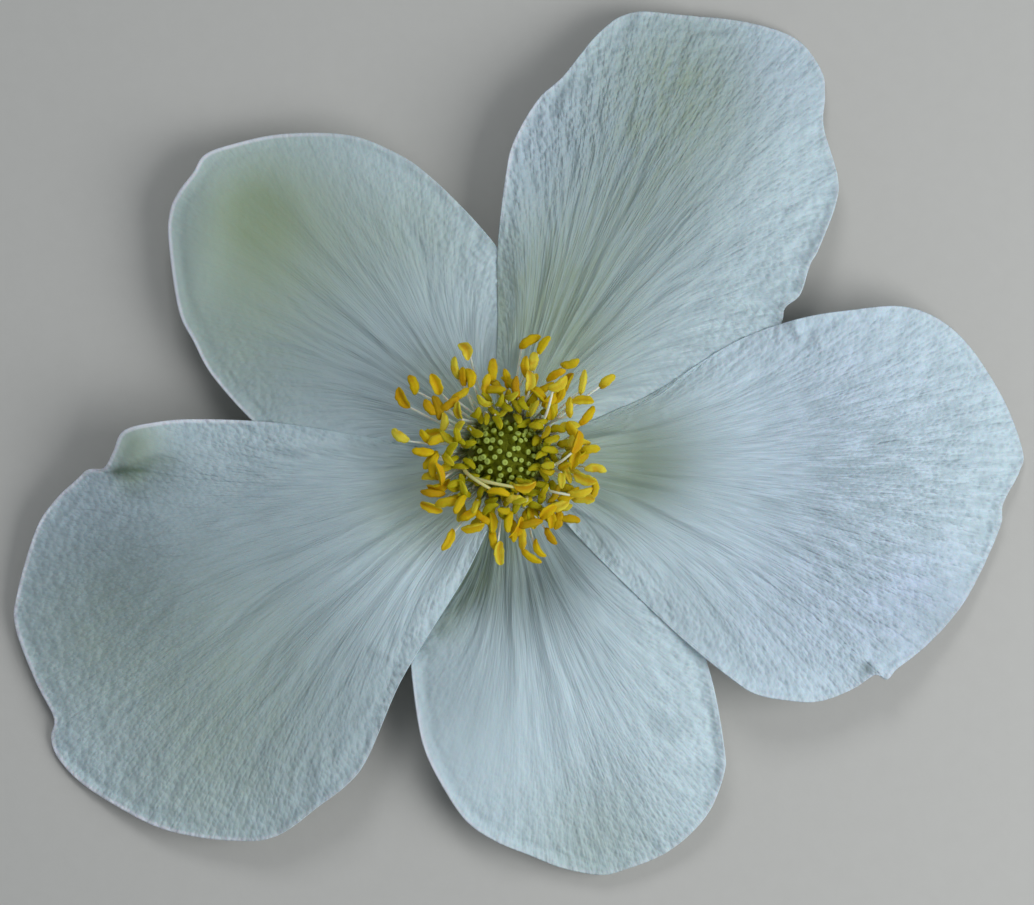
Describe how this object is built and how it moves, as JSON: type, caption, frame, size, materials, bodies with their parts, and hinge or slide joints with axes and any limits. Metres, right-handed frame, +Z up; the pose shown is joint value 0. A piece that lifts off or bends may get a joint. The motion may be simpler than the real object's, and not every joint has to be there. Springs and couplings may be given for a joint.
{
  "type": "anemone flower",
  "caption": "Open white flower with broad overlapping petals round a ring of golden stamens and a domed green centre, laid face up on a short cut stalk.",
  "frame": {"origin": "middle of the bottom of the flower's box, on the surface that the flower lies on", "axes": "+Z up, out of the flower's face; +X to the right as the flower is seen from above, along its longest side; +Y towards the gap between the upper tepals"},
  "size_m": [0.0604, 0.0516, 0.0092],
  "materials": {
    "tepal_white": "satin",
    "stamen_gold": "matte",
    "carpel_green": "matte",
    "stalk_green": "matte"
  },
  "bodies": {
    "root": {"receptacle_and_stalk": "stalk_green", "carpel_head": "carpel_green", "stamens": "stamen_gold", "tepal_upper_left": "tepal_white", "tepal_upper_right": "tepal_white", "tepal_right": "tepal_white", "tepal_lower": "tepal_white", "tepal_left": "tepal_white"}
  },
  "joints": []
}
